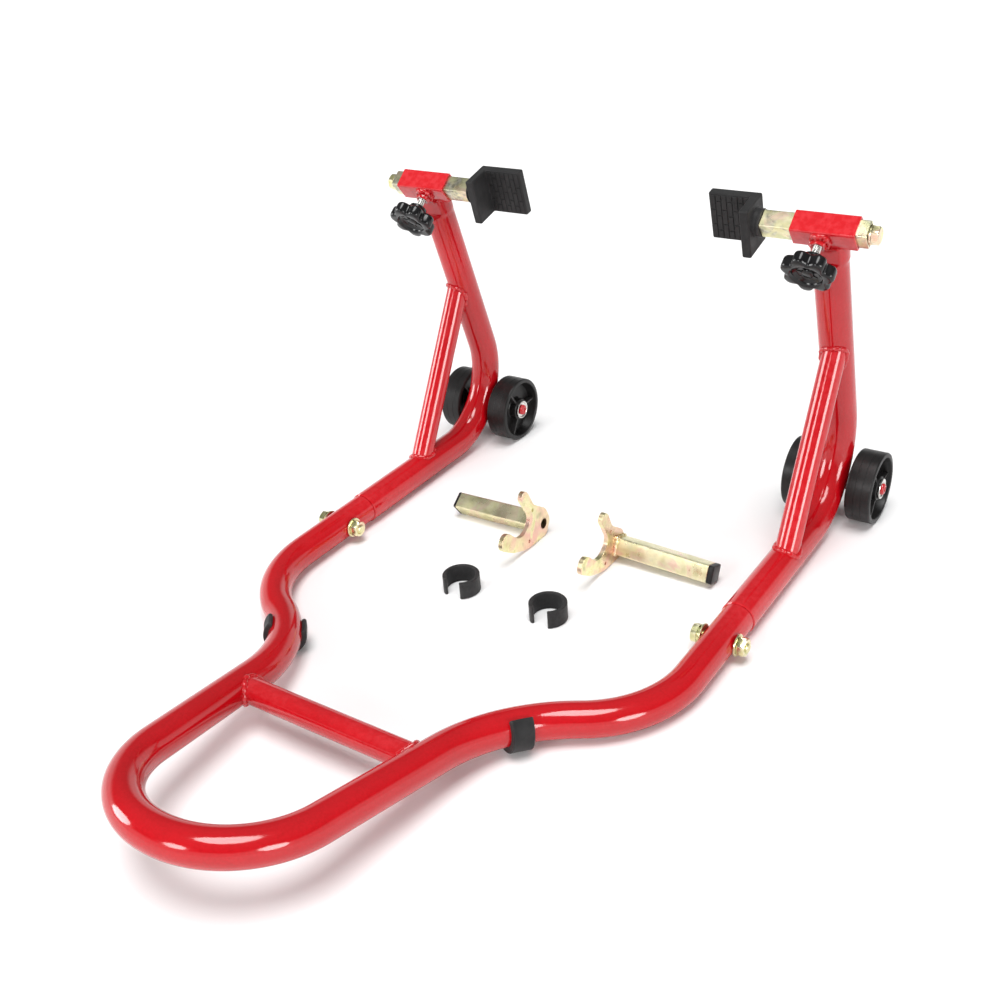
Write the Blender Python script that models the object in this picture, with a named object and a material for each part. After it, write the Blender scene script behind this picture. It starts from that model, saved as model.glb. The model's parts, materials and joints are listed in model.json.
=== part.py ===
"""Rear paddock stand for a motorcycle, modelled in metres.

+Z is up and the floor is z = 0. X runs across the stand, and x = 0 is its middle. The handle is at -Y
and the wheels and posts are at +Y. The origin is on the floor at the middle of the stand's footprint.
"""

from math import acos, ceil, cos, pi, radians, sin, tan

import bmesh
import bpy
from mathutils import Matrix, Vector

MM = 0.001
GAP = 0.3 * MM  # air between two pieces that touch on the real stand

# Wheels
WHEEL_R = 40 * MM
WHEEL_WIDTH = 28 * MM
WHEEL_GAP = 22 * MM  # from the middle of a leg to a wheel's face
AXLE_Y = 380.3 * MM
AXLE_D = 10 * MM
SLEEVE_D = 18 * MM
CAP_D = 22.6 * MM
AXLE_HEAD_D = 12.8 * MM

# Frame tubes
LEG_D = 35 * MM
HANDLE_D = 33 * MM
BRACE_D = 25 * MM
TUBE_WALL = 1.8 * MM
LEG_X = 234 * MM
ARM_Z = 17.7 * MM
POST_LEAN = radians(18.5)
HEEL_Y = AXLE_Y + 30 * MM
HEEL_BEND = 85 * MM
SEAM_Y = AXLE_Y - 266 * MM
SPIGOT_D = 28.4 * MM

# Handle: corners of its centre line, on the +X side
FRONT = Vector((81.8 * MM, AXLE_Y - 784.1 * MM, 73 * MM))
NECK = Vector((115 * MM, AXLE_Y - 507.7 * MM, 21.8 * MM))
ELBOW = Vector((LEG_X, AXLE_Y - 435 * MM, ARM_Z))
FRONT_BEND = 91 * MM
NECK_BEND = 147 * MM
ELBOW_BEND = 115 * MM
BRACE_Y = AXLE_Y - 597 * MM

# Feet: C-shaped clips on the handle, and two spare ones
FOOT_AT = {"left": AXLE_Y - 497.5 * MM, "right": AXLE_Y - 507 * MM}  # Y of each middle
FOOT_AIR = 0.6 * MM
FOOT_LENGTH = 23.5 * MM
FOOT_MOUTH = radians(116)
FOOT_TILT = radians(21)  # its mouth turns inwards
SPARE_R = 19.8 * MM
SPARE_WALL = 4 * MM
SPARE_WIDTH = 19.5 * MM
SPARE_MOUTH = radians(58)
SPARES = {"left": (-50 * MM, AXLE_Y - 329 * MM), "right": (58 * MM, AXLE_Y - 330 * MM)}

# Gusset tube across each heel bend
GUSSET_Y = AXLE_Y - 155 * MM
GUSSET_Z = 222 * MM
GUSSET_OUT = 2 * MM  # its axis is outside the leg's

# Bolt through each handle end
JOINT_Y = AXLE_Y - 305 * MM
JOINT_D = 10 * MM
JOINT_WASHER_D = 22 * MM
JOINT_NUT_FLATS = 17 * MM

# Sockets on the posts and the cradles that slide in them
SOCKET = 24 * MM
SOCKET_WALL = 2 * MM
SOCKET_IN = 202.5 * MM
SOCKET_OUT = 265.5 * MM
SOCKET_AT = Vector((0, AXLE_Y - 86 * MM, 348.5 * MM))
SOCKET_PITCH = radians(39)
SLIDE = 19.4 * MM
SLIDE_IN = 171.3 * MM
SLIDE_OUT = 275.5 * MM
SLIDE_WALL = 1.8 * MM
PIVOT_D = 10 * MM

# Rubber pads
PAD_PITCH = radians(15)
PAD_OUT = 164 * MM
PAD_IN = 111 * MM
PAD_DEPTH = 37.5 * MM
PAD_HEIGHT = 51.5 * MM
PAD_DROP = 4 * MM
PAD_SIDE = 9.5 * MM
PAD_BACK = 10.5 * MM
COLLAR_D = 28 * MM
COLLAR_LENGTH = 7 * MM

# Clamp screws, measured out from the middle of the socket
CLAMP_X = 231.5 * MM
STUD_D = 8 * MM
STUD_END = 45 * MM
CLAMP_NUT_D = 15 * MM
CLAMP_NUT_END = 20 * MM
KNOB_START = 30 * MM
KNOB_SHOULDER = 39.5 * MM
KNOB_END = 53 * MM
KNOB_R = 26 * MM
KNOB_LOBES = 7

# Loose fork adapters, which fit the sockets in place of the cradles
FORK_Y = AXLE_Y - 198.6 * MM
FORK_Z = 16.8 * MM
FORK_LENGTH = 107 * MM
FORK_THICK = 5 * MM
FORK_ANGLE = radians(31.3)
FORK_IN = {-1: 29.4 * MM, 1: 62.1 * MM}
FORK_ROLLS = {-1: radians(35), 1: radians(-20)}
FORK_TILTS = {-1: radians(1.52), 1: radians(2)}
FORK_HOLES = [(-1.5 * MM, 0, 12 * MM), (29.5 * MM, 13 * MM, 4 * MM), (21.5 * MM, -21.5 * MM, 4 * MM)]
CAP_LENGTHS = {-1: 3 * MM, 1: 6 * MM}

SIDES = {"left": -1, "right": 1}


def clear_scene():
    for thing in list(bpy.data.objects):
        bpy.data.objects.remove(thing, do_unlink=True)


def material(name, color, roughness, metallic=0.0):
    made = bpy.data.materials.new(name)
    made.use_nodes = True
    shader = made.node_tree.nodes["Principled BSDF"]
    shader.inputs["Base Color"].default_value = (*color, 1.0)
    shader.inputs["Roughness"].default_value = roughness
    shader.inputs["Metallic"].default_value = metallic
    return made


LOOKS = {
    "red": ((0.62, 0.01, 0.02), 0.22, 0.0),
    "zinc": ((0.72, 0.66, 0.40), 0.32, 1.0),
    "silver": ((0.75, 0.75, 0.73), 0.30, 1.0),
    "rubber": ((0.035, 0.033, 0.033), 0.75, 0.0),
    "wheel": ((0.022, 0.021, 0.021), 0.45, 0.0),
    "gloss": ((0.008, 0.008, 0.009), 0.20, 0.0),
}


def solid(name, bm, look, at=(0, 0, 0), turn=(0, 0, 0)):
    """Makes the named object, with its own material, from a closed bmesh."""
    bmesh.ops.recalc_face_normals(bm, faces=bm.faces)
    mesh = bpy.data.meshes.new(name)
    bm.to_mesh(mesh)
    bm.free()
    mesh.materials.append(material(name, *LOOKS[look]))
    mesh.shade_smooth()
    mesh.set_sharp_from_angle(angle=radians(35))
    made = bpy.data.objects.new(name, mesh)
    made.location = at
    made.rotation_euler = turn
    bpy.context.scene.collection.objects.link(made)
    return made


def cutter(name, bm, at=(0, 0, 0), turn=(0, 0, 0)):
    made = solid(name, bm, "silver", at, turn)
    made.hide_render = True
    made.display_type = "WIRE"
    return made


def boolean(target, operation, *tools):
    for tool in tools:
        modifier = target.modifiers.new(tool.name, "BOOLEAN")
        modifier.operation = operation
        modifier.object = tool
        modifier.solver = "EXACT"
    return target


def cut(target, *tools):
    return boolean(target, "DIFFERENCE", *tools)


def join(target, *tools):
    return boolean(target, "UNION", *tools)


def loft(rings, loop=False):
    """Skins rings of equal length. The two ends are capped, or joined together when loop is set."""
    bm = bmesh.new()
    rows = [[bm.verts.new(point) for point in ring] for ring in rings]
    count = len(rows[0])
    pairs = list(zip(rows, rows[1:]))
    if loop:
        pairs.append((rows[-1], rows[0]))
    for low, high in pairs:
        for k in range(count):
            after = (k + 1) % count
            bm.faces.new((low[k], low[after], high[after], high[k]))
    if not loop:
        bm.faces.new(rows[0][::-1])
        bm.faces.new(rows[-1])
    return bm


def circle(radius, sides, x=0.0, phase=0.0):
    """A ring of points around the X axis."""
    angles = [phase + 2 * pi * k / sides for k in range(sides)]
    return [Vector((x, radius * cos(a), radius * sin(a))) for a in angles]


def turned(profile, sides, loop=True):
    """Turns (x, radius) points around the X axis."""
    return loft([circle(radius, sides, x) for x, radius in profile], loop)


def rod(start, end, diameter, sides=16):
    return turned([(start, diameter / 2), (end, diameter / 2)], sides, loop=False)


def ring(start, end, outer, inner, sides=20):
    """A flat washer or a bush around the X axis."""
    return turned([(start, inner / 2), (end, inner / 2), (end, outer / 2), (start, outer / 2)], sides)


def hexagon(flats, x):
    return circle(flats / 2 / cos(pi / 6), 6, x, pi / 6)


def box(low, high):
    """A closed box between two opposite corners."""
    bm = bmesh.new()
    size = Vector(high) - Vector(low)
    middle = (Vector(high) + Vector(low)) / 2
    bmesh.ops.create_cube(bm, size=1.0, matrix=Matrix.Translation(middle) @ Matrix.Diagonal((*size, 1)))
    return bm


def square_bar(start, end, size):
    return box((start, -size / 2, -size / 2), (end, size / 2, size / 2))


def arc_between(centre, start, end, step):
    """Points from start to end on a circle about centre, both ends included."""
    a, b = start - centre, end - centre
    turn = a.angle(b)
    count = max(2, ceil(turn / step))
    weights = [(sin((1 - k / count) * turn), sin(k / count * turn)) for k in range(count + 1)]
    return [centre + (a * first + b * last) / sin(turn) for first, last in weights]


def rounded(corners, radii, step=radians(11), closed=False):
    """A line through the corners, with an arc of the given radius at each inner corner."""
    count = len(corners)
    triples = [(corners[k - 1], corners[k], corners[(k + 1) % count]) for k in range(count)]
    if not closed:
        triples = triples[1:-1]
    points = [] if closed else [corners[0]]
    for (before, corner, after), radius in zip(triples, radii):
        back = (before - corner).normalized()
        ahead = (after - corner).normalized()
        half = back.angle(ahead) / 2
        reach = radius / tan(half)
        centre = corner + (back + ahead).normalized() * radius / sin(half)
        points += arc_between(centre, corner + back * reach, corner + ahead * reach, step)
    return points if closed else points + [corners[-1]]


def sweep(path, radius, sides):
    """A round bar along the path, with flat ends."""
    rings = []
    normal = Vector((0, 0, 1))
    for k, point in enumerate(path):
        ahead = path[min(k + 1, len(path) - 1)] - point
        behind = point - path[max(k - 1, 0)]
        tangent = (ahead.normalized() + behind.normalized()).normalized()
        normal = (normal - tangent * normal.dot(tangent)).normalized()
        side = tangent.cross(normal)
        angles = [2 * pi * j / sides for j in range(sides)]
        rings.append([point + radius * (cos(a) * normal + sin(a) * side) for a in angles])
    return loft(rings)


def bore_radius(radius, sides):
    """The corner radius of a polygon that clears a circle of this radius."""
    return radius / cos(pi / sides)


def mirrored(point):
    return Vector((-point.x, point.y, point.z))


def lengthened(path, extra):
    first = path[0] + (path[0] - path[1]).normalized() * extra
    last = path[-1] + (path[-1] - path[-2]).normalized() * extra
    return [first, *path, last]


def handle_path():
    seam = Vector((LEG_X, SEAM_Y - GAP / 2, ARM_Z))
    half = [seam, ELBOW, NECK, FRONT]
    corners = [mirrored(point) for point in half] + half[::-1]
    bends = [ELBOW_BEND, NECK_BEND, FRONT_BEND]
    return rounded(corners, bends + bends[::-1])


def post_point(x, z):
    """The point of a post's axis at a height."""
    return Vector((x, HEEL_Y - tan(POST_LEAN) * (z - ARM_Z), z))


def leg_path(x, top):
    corners = [Vector((x, SEAM_Y + GAP / 2, ARM_Z)), Vector((x, HEEL_Y, ARM_Z)), post_point(x, top)]
    return rounded(corners, [HEEL_BEND])


def build_handle():
    path = handle_path()
    handle = solid("handle_tube", sweep(path, HANDLE_D / 2, 16), "red")
    inner = bore_radius(HANDLE_D / 2 - TUBE_WALL, 12)
    cut(handle, cutter("handle_bore", sweep(lengthened(path, 5 * MM), inner, 12)))
    envelope = cutter("handle_envelope", sweep(path, HANDLE_D / 2 + 2 * GAP, 16))
    share = (BRACE_Y - FRONT.y) / (NECK.y - FRONT.y)
    end = FRONT.lerp(NECK, share)
    brace = solid("cross_brace", rod(-end.x, end.x, BRACE_D), "red", at=(0, BRACE_Y, end.z))
    bore = cutter("brace_bore", rod(-end.x - 5 * MM, end.x + 5 * MM, BRACE_D - 2 * TUBE_WALL, 12))
    bore.location = brace.location
    cut(brace, bore, envelope)
    for side in SIDES.values():
        hole = cutter("handle_bolt_hole", rod(-30 * MM, 30 * MM, JOINT_D + 0.8 * MM))
        hole.location = (side * LEG_X, JOINT_Y, ARM_Z)
        cut(handle, hole)


def c_clip(inner, outer, width, mouth):
    """A C-shaped clip around the X axis that opens towards +Z."""
    start, end = pi / 2 + mouth / 2, 5 * pi / 2 - mouth / 2
    count = 16
    sections = []
    for k in range(count + 1):
        angle = start + (end - start) * k / count
        spoke = Vector((0, cos(angle), sin(angle)))
        corners = [(inner, -width / 2), (outer, -width / 2), (outer, width / 2), (inner, width / 2)]
        sections.append([spoke * radius + Vector((x, 0, 0)) for radius, x in corners])
    return loft(sections)


def foot_line(y):
    """The stretch of the handle's centre line inside a foot on the +X side, with the line's own corners."""
    path = [point for point in handle_path() if point.x > 0 and point.y > BRACE_Y]
    far = [0.0]
    for point, after in zip(path, path[1:]):
        far.append(far[-1] + (after - point).length)
    k = max(j for j, point in enumerate(path) if point.y < y)
    middle = far[k] + (far[k + 1] - far[k]) * (y - path[k].y) / (path[k + 1].y - path[k].y)
    ends = (middle - FOOT_LENGTH / 2, middle + FOOT_LENGTH / 2)
    found = []
    for j in range(len(path) - 1):
        if ends[0] < far[j] < ends[1]:
            found.append(path[j])
        for end in ends:
            share = (end - far[j]) / (far[j + 1] - far[j])
            if 0 <= share < 1:
                found.append(path[j].lerp(path[j + 1], share))
    return sorted(found, key=lambda point: point.y)


def foot_clip(y):
    """A foot on the +X side: a C around the handle's centre line, following its bend down to the floor."""
    spokes = []
    line = foot_line(y)
    for k, point in enumerate(line):
        ahead = line[min(k + 1, len(line) - 1)] - point
        behind = point - line[max(k - 1, 0)]
        tangent = (ahead.normalized() + behind.normalized()).normalized()
        up = (Vector((0, 0, 1)) - tangent * tangent.z).normalized()
        spokes.append((point, up, tangent.cross(up)))
    inner = HANDLE_D / 2 + FOOT_AIR
    outer = min(at.z / up.z for at, up, _ in spokes)
    start, end = FOOT_MOUTH / 2 - FOOT_TILT, 2 * pi - FOOT_MOUTH / 2 - FOOT_TILT
    count = 16
    sections = []
    for k in range(count + 1):
        angle = start + (end - start) * k / count
        rows = [[at + radius * (cos(angle) * up + sin(angle) * out) for at, up, out in spokes]
                for radius in (inner, outer)]
        sections.append(rows[0] + rows[1][::-1])
    return loft(sections)


def build_feet():
    for word, side in SIDES.items():
        clip = foot_clip(FOOT_AT[word])
        clip.transform(Matrix.Scale(side, 4, (1, 0, 0)))
        solid(f"handle_foot_{word}", clip, "rubber")
    for word, (x, y) in SPARES.items():
        clip = c_clip(SPARE_R - SPARE_WALL, SPARE_R, SPARE_WIDTH, SPARE_MOUTH)
        solid(f"spare_foot_{word}", clip, "rubber", (x, y, SPARE_WIDTH / 2), (pi / 2, pi / 2, 0))


def build_leg(word, side):
    x = side * LEG_X
    top = SOCKET_AT.z + 10 * MM
    leg = solid(f"leg_tube_{word}", sweep(leg_path(x, top), LEG_D / 2, 16), "red")
    inner = bore_radius(SPIGOT_D / 2 + GAP, 12)
    bore_path = lengthened(leg_path(x, 300 * MM), 5 * MM)[:-1]
    bore = cutter(f"leg_bore_{word}", sweep(bore_path, inner, 12))
    wide = 30 * MM
    under = -SOCKET / 2 - GAP
    above = cutter(f"post_end_{word}", box((-wide, -wide, under), (wide, wide, wide)))
    above.location = (x, SOCKET_AT.y, SOCKET_AT.z)
    above.rotation_euler.x = SOCKET_PITCH
    front = cutter(f"post_flat_{word}", box((-wide, -wide, -22 * MM), (wide, -12 * MM, wide)))
    front.location = post_point(x, 335 * MM)
    front.rotation_euler.x = POST_LEAN
    cut(leg, bore, above, front)
    envelope = cutter(f"leg_envelope_{word}", sweep(leg_path(x, top), LEG_D / 2 + 2 * GAP, 16))

    spigot_y = (SEAM_Y - 80 * MM, SEAM_Y + 45 * MM)
    pipe = ring(*spigot_y, SPIGOT_D, SPIGOT_D - 4 * MM, 16)
    spigot = solid(f"leg_spigot_{word}", pipe, "red", (x, 0, ARM_Z), (0, 0, pi / 2))
    hole = cutter(f"spigot_bolt_hole_{word}", rod(-30 * MM, 30 * MM, JOINT_D + 0.8 * MM))
    hole.location = (x, JOINT_Y, ARM_Z)
    cut(spigot, hole)

    out = x + side * GUSSET_OUT
    low, high = Vector((out, GUSSET_Y, ARM_Z)), post_point(out, GUSSET_Z)
    gusset = solid(f"gusset_{word}", sweep([low, high], BRACE_D / 2, 16), "red")
    bore = cutter(f"gusset_bore_{word}", sweep(lengthened([low, high], 5 * MM), BRACE_D / 2 - TUBE_WALL, 12))
    cut(gusset, bore, envelope)

    axle_at = (x, AXLE_Y, WHEEL_R)
    half = WHEEL_GAP - 1.5 * MM
    sleeve = ring(-half, half, SLEEVE_D, AXLE_D + 2 * GAP)
    cut(solid(f"axle_sleeve_{word}", sleeve, "red", axle_at), envelope)


def build_joint(word, side):
    """The bolt, its washers and its nut, with the nut towards +X on both sides."""
    at = (side * LEG_X, JOINT_Y, ARM_Z)
    face = HANDLE_D / 2 + GAP
    plate = 1.8 * MM
    flat = face + plate
    lock = flat + GAP + 2.4 * MM
    head = lock + GAP
    nut = flat + GAP
    hole = JOINT_D + 2 * GAP
    solid(f"joint_washer_nut_{word}", ring(face, flat, JOINT_WASHER_D, hole), "zinc", at)
    solid(f"joint_washer_head_{word}", ring(-flat, -face, JOINT_WASHER_D, hole), "zinc", at)
    solid(f"joint_lock_washer_{word}", ring(-lock, -flat - GAP, 17 * MM, hole), "zinc", at)
    hexes = [hexagon(JOINT_NUT_FLATS, x) for x in (nut, nut + 8 * MM)]
    body = solid(f"joint_nut_{word}", loft(hexes), "zinc", at)
    cut(body, cutter(f"joint_nut_hole_{word}", rod(0, 40 * MM, hole), at))
    rings = [hexagon(JOINT_NUT_FLATS, x) for x in (-head - 6.4 * MM, -head)]
    bolt = solid(f"joint_bolt_{word}", loft(rings), "zinc", at)
    join(bolt, cutter(f"joint_shank_{word}", rod(-head - 2 * MM, nut + 10 * MM, JOINT_D), at))


def wheel():
    """A wheel with a recessed web on each side, around the X axis."""
    half = WHEEL_WIDTH / 2
    bore = AXLE_D / 2 + GAP
    hub, rim_in, edge = 11 * MM, 33 * MM, 1.5 * MM
    web = 3 * MM
    tread = WHEEL_R
    outer = [(-half, tread - edge), (-half + edge, tread), (half - edge, tread), (half, tread - edge)]
    right_face = [(half, rim_in), (web, rim_in - edge), (web, hub + edge), (half - edge, hub), (half - edge, bore)]
    left_face = [(-x, radius) for x, radius in right_face[::-1]]
    return turned(outer + right_face + left_face, 28)


def build_axle(word, side):
    at = (side * LEG_X, AXLE_Y, WHEEL_R)
    cap = WHEEL_GAP + WHEEL_WIDTH + GAP - 1.5 * MM
    neck, end = cap + 0.9 * MM + GAP, cap + 5 * MM
    head = [(neck, AXLE_D / 2), (neck, AXLE_HEAD_D / 2), (end - 1.5 * MM, AXLE_HEAD_D / 2)]
    head += [(end, AXLE_HEAD_D / 2 - 1.5 * MM)]
    profile = [(-x, radius) for x, radius in head[::-1]] + head
    solid(f"axle_{word}", turned(profile, 16, loop=False), "red", at)
    for place, way in {"inner": -side, "outer": side}.items():
        middle = way * (WHEEL_GAP + WHEEL_WIDTH / 2)
        hub_at = Vector(at) + Vector((middle, 0, 0))
        solid(f"wheel_{word}_{place}", wheel(), "wheel", hub_at)
        hole = AXLE_D / 2 + GAP
        rim, top = CAP_D / 2, cap + 2.5 * MM
        push_on = [(cap, hole), (cap + 0.9 * MM, hole), (cap + 0.9 * MM, rim - 1.8 * MM)]
        push_on += [(top, rim - 1.4 * MM), (top, rim), (cap, rim)]
        shape = turned([(way * x, radius) for x, radius in push_on], 20)
        solid(f"axle_cap_{word}_{place}", shape, "silver", at)


def build_socket(word, side):
    turn = (SOCKET_PITCH, 0, 0)
    ends = sorted((side * SOCKET_IN, side * SOCKET_OUT))
    socket = solid(f"socket_{word}", square_bar(*ends, SOCKET), "red", SOCKET_AT, turn)
    spare = 5 * MM
    hollow = cutter(f"socket_hollow_{word}", square_bar(ends[0] - spare, ends[1] + spare, SOCKET - 2 * SOCKET_WALL))
    hollow.location, hollow.rotation_euler = SOCKET_AT, turn
    clamp_at = SOCKET_AT + Vector((side * CLAMP_X, 0, 0))
    outwards = Matrix.Rotation(SOCKET_PITCH, 4, "X") @ Matrix.Rotation(-pi / 2, 4, "Z")
    clamp_turn = outwards.to_euler()
    hole_d = STUD_D + 2 * GAP
    hole = cutter(f"clamp_hole_{word}", rod(SOCKET / 2 - 5 * MM, SOCKET / 2 + 5 * MM, hole_d))
    hole.location, hole.rotation_euler = clamp_at, clamp_turn
    cut(socket, hollow, hole)
    nut = turned(
        [(SOCKET / 2 + GAP, hole_d / 2), (CLAMP_NUT_END, hole_d / 2), (CLAMP_NUT_END, CLAMP_NUT_D / 2 - 1 * MM),
         (CLAMP_NUT_END - 2 * MM, CLAMP_NUT_D / 2), (SOCKET / 2 + GAP, CLAMP_NUT_D / 2)], 16)
    solid(f"clamp_nut_{word}", nut, "red", clamp_at, clamp_turn)
    stud = rod(SLIDE / 2 + GAP, STUD_END, STUD_D)
    solid(f"clamp_stud_{word}", stud, "silver", clamp_at, clamp_turn)
    solid(f"clamp_knob_{word}", knob(), "gloss", clamp_at, clamp_turn)


def star(x, radius, depth):
    """One ring of the knob, round when depth is 0 and lobed when it is larger."""
    count = KNOB_LOBES * 4
    points = []
    for k in range(count):
        angle = 2 * pi * k / count
        reach = radius - depth * (1 - cos(KNOB_LOBES * angle)) / 2
        points.append(Vector((x, reach * cos(angle), reach * sin(angle))))
    return points


def knob():
    """A star knob on the X axis, with a blind hole for the stud and a hollow outer face."""
    hole = STUD_D / 2 + GAP
    hollow_floor = STUD_END + 3 * MM
    lobe = 5 * MM
    stations = [
        (STUD_END + GAP, hole, 0), (KNOB_START, hole, 0), (KNOB_START, 10.5 * MM, 0),
        (KNOB_SHOULDER - 3 * MM, 11 * MM, 0), (KNOB_SHOULDER, KNOB_R - 3 * MM, lobe),
        (KNOB_SHOULDER + 3 * MM, KNOB_R, lobe), (KNOB_END - 3 * MM, KNOB_R, lobe),
        (KNOB_END, KNOB_R - 2.5 * MM, lobe), (KNOB_END - 1 * MM, 17 * MM, 1 * MM),
        (hollow_floor, 14 * MM, 1 * MM),
    ]
    return loft([star(*station) for station in stations])


def build_cradle(word, side):
    turn = (SOCKET_PITCH, 0, 0)
    ends = sorted((side * SLIDE_IN, side * SLIDE_OUT))
    slide_x = side * (SLIDE_IN + SLIDE_OUT) / 2
    at = SOCKET_AT + Vector((slide_x, 0, 0))
    half = (ends[1] - ends[0]) / 2
    slide = solid(f"cradle_slide_{word}", square_bar(-half, half, SLIDE), "zinc", at, turn)
    hollow = square_bar(-half - 5 * MM, half + 5 * MM, SLIDE - 2 * SLIDE_WALL)
    cut(slide, cutter(f"slide_hollow_{word}", hollow, at, turn))

    end = SLIDE_OUT + GAP
    plate = 2 * MM
    washer_faces = sorted((side * end, side * (end + plate)))
    washer = ring(*washer_faces, 18.5 * MM, PIVOT_D + 2 * GAP)
    solid(f"pivot_washer_{word}", washer, "zinc", SOCKET_AT)
    head = end + plate + GAP
    head_faces = [hexagon(16 * MM, side * x) for x in (head, head + 6.5 * MM)]
    bolt = solid(f"pivot_bolt_{word}", loft(head_faces), "zinc", SOCKET_AT)
    shank_ends = sorted((side * (PAD_OUT - 2 * MM), side * (head + 2 * MM)))
    join(bolt, cutter(f"pivot_shank_{word}", rod(*shank_ends, PIVOT_D), SOCKET_AT))


def build_pad(word, side):
    """A rubber L: one slab across the slide, and one behind that reaches inwards, and a collar."""
    turn = (PAD_PITCH, 0, 0)
    low, high = -PAD_HEIGHT / 2 - PAD_DROP, PAD_HEIGHT / 2 - PAD_DROP
    front, back = -PAD_DEPTH / 2, PAD_DEPTH / 2
    corners = [
        (PAD_OUT, back), (PAD_IN, back), (PAD_IN, back - PAD_BACK),
        (PAD_OUT - PAD_SIDE, back - PAD_BACK), (PAD_OUT - PAD_SIDE, front), (PAD_OUT, front),
    ]
    outline = [Vector((side * x, y, 0)) for x, y in corners]
    radii = [3 * MM, 2 * MM, 2 * MM, 1.5 * MM, 2 * MM, 2 * MM]
    outline = rounded(outline, radii, step=radians(45), closed=True)
    rings = [[point + Vector((0, 0, z)) for point in outline] for z in (low, high)]
    pad = solid(f"pad_{word}", loft(rings), "rubber", SOCKET_AT, turn)
    start, end = PAD_OUT - 4 * MM, PAD_OUT + COLLAR_LENGTH
    collar = rod(*sorted((side * start, side * end)), COLLAR_D, 20)
    hole = rod(*sorted((side * (start - 1 * MM), side * (end + 5 * MM))), PIVOT_D + 2 * GAP)
    join(pad, cutter(f"pad_collar_{word}", collar, SOCKET_AT))
    cut(pad, cutter(f"pad_hole_{word}", hole, SOCKET_AT))


def fork_outline():
    """The outline of the hooked plate, with the tube's middle at (0, 0) and the mouth towards +u."""
    corners = [
        ((-13.2, -11.6), 9), ((22, -31), 55), ((50, -36.2), 50), ((77.2, -35.2), 8.5), ((76.8, -16.2), 8.5),
        ((64, -16), 8), ((31.5, -24), 18), ((29.4, 5.2), 11), ((58.8, 21.8), 6), ((57.2, 33.4), 6),
        ((46.5, 30.8), 10), ((29.5, 19.4), 15), ((2, 17.6), 16), ((-12.6, 7.2), 10),
    ]
    points = [Vector((u * MM, v * MM, 0)) for (u, v), _ in corners]
    return rounded(points, [radius * MM for _, radius in corners], step=radians(22), closed=True)


def build_fork(word, side):
    """A loose adapter: a square tube with a hooked plate across one end and a cap in the other."""
    at = Vector((side * FORK_IN[side], FORK_Y, FORK_Z))
    lean = (0, side * FORK_TILTS[side], 0)
    turn = (FORK_ROLLS[side], side * FORK_TILTS[side], 0)
    tube_x = side * (FORK_THICK + GAP)
    end_x = tube_x + side * FORK_LENGTH
    along = Vector((0, -cos(FORK_ANGLE), sin(FORK_ANGLE)))
    across = Vector((0, sin(FORK_ANGLE), cos(FORK_ANGLE)))

    def layer(x):
        return [Vector((x, 0, 0)) + along * p.x + across * p.y for p in fork_outline()]

    plate = solid(f"fork_plate_{word}", loft([layer(0), layer(side * FORK_THICK)]), "zinc", at, lean)
    for k, (u, v, diameter) in enumerate(FORK_HOLES):
        hole = rod(-FORK_THICK * 2, FORK_THICK * 2, diameter, 16)
        hole.transform(Matrix.Translation(along * u + across * v))
        cut(plate, cutter(f"fork_hole_{word}_{k}", hole, at, lean))

    ends = sorted((tube_x, end_x))
    tube = solid(f"fork_tube_{word}", square_bar(*ends, SLIDE), "zinc", at, turn)
    inside = SLIDE - 2 * SLIDE_WALL
    cut(tube, cutter(f"fork_hollow_{word}", square_bar(ends[0] - 5 * MM, ends[1] + 5 * MM, inside), at, turn))

    cap_in = end_x + side * GAP
    cap_out = cap_in + side * CAP_LENGTHS[side]
    cap = solid(f"fork_cap_{word}", square_bar(*sorted((cap_in, cap_out)), SLIDE), "gloss", at, turn)
    plug = square_bar(*sorted((end_x - side * 12 * MM, cap_in + side * 3 * MM)), inside - 2 * GAP)
    join(cap, cutter(f"fork_plug_{word}", plug, at, turn))


def main():
    clear_scene()
    build_handle()
    build_feet()
    for word, side in SIDES.items():
        build_leg(word, side)
        build_joint(word, side)
        build_axle(word, side)
        build_socket(word, side)
        build_cradle(word, side)
        build_pad(word, side)
        build_fork(word, side)


main()
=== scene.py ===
"""The looks of the paddock stand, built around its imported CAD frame. Metres, +Z up, floor at z = 0."""

import json
from math import atan2, ceil, cos, pi, radians, sin, tan

import bmesh
import bpy
from mathutils import Matrix, Vector, noise
from mathutils.bvhtree import BVHTree


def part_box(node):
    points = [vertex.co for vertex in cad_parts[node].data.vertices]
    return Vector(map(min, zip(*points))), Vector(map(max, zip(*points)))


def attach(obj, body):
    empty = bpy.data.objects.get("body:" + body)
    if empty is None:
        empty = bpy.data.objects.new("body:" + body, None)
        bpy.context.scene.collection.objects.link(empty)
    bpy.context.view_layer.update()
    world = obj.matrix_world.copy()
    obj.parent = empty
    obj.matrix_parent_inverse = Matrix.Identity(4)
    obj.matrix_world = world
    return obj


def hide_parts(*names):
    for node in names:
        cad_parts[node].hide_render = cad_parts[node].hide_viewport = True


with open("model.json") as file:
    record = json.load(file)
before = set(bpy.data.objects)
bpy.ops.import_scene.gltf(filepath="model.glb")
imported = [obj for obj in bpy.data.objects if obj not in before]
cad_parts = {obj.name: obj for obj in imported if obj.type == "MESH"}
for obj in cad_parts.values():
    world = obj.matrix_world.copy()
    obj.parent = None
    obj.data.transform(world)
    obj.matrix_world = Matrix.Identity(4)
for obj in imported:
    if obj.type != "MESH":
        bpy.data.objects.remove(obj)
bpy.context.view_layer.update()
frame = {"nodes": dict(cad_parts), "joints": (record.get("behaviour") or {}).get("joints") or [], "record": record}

MM = 0.001
SIDES = {"left": -1, "right": 1}
JOINTS = {joint["name"]: joint for joint in frame["joints"]}
MOUNTS = {mount["name"]: mount for mount in frame["record"]["mounts"]}


def middle(node):
    low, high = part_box(node)
    return (low + high) / 2


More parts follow.
